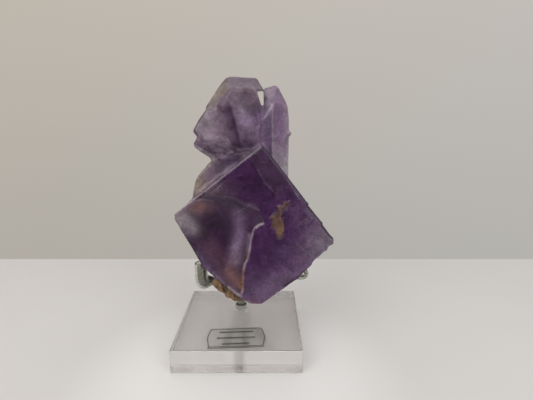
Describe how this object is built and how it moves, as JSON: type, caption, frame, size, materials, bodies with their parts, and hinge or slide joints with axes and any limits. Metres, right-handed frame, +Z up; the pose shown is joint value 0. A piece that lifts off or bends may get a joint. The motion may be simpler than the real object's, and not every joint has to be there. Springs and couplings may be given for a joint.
{
  "type": "fluorite specimen",
  "caption": "Purple fluorite crystal group standing on a corner in a bent wire holder with clear sleeves, on a clear acrylic block.",
  "frame": {"origin": "centre of the acrylic block's underside", "axes": "+Z up, -Y towards the side the specimen is looked at from, +X to the right as seen from there"},
  "size_m": [0.0614, 0.0508, 0.1118],
  "materials": {
    "fluorite": "clear to milky purple crystal with frosted faces and rusty stains",
    "ochre_crust": "rough earthy crust of iron oxides",
    "acrylic": "clear cast acrylic, flame polished",
    "stand_steel": "plain drawn steel rod and turned fittings, slightly dull",
    "clear_sleeve": "clear soft vinyl tube",
    "label_film": "clear film with a thin dark printed outline"
  },
  "bodies": {
    "root": {"fluorite": "fluorite", "matrix_crust": "ochre_crust", "acrylic_base": "acrylic", "post_insert": "stand_steel", "post": "stand_steel", "hub": "stand_steel", "arm_left": "stand_steel", "arm_right": "stand_steel", "arm_back": "stand_steel", "sleeve_left": "clear_sleeve", "sleeve_right": "clear_sleeve", "sleeve_back": "clear_sleeve", "label": "label_film"}
  },
  "joints": []
}
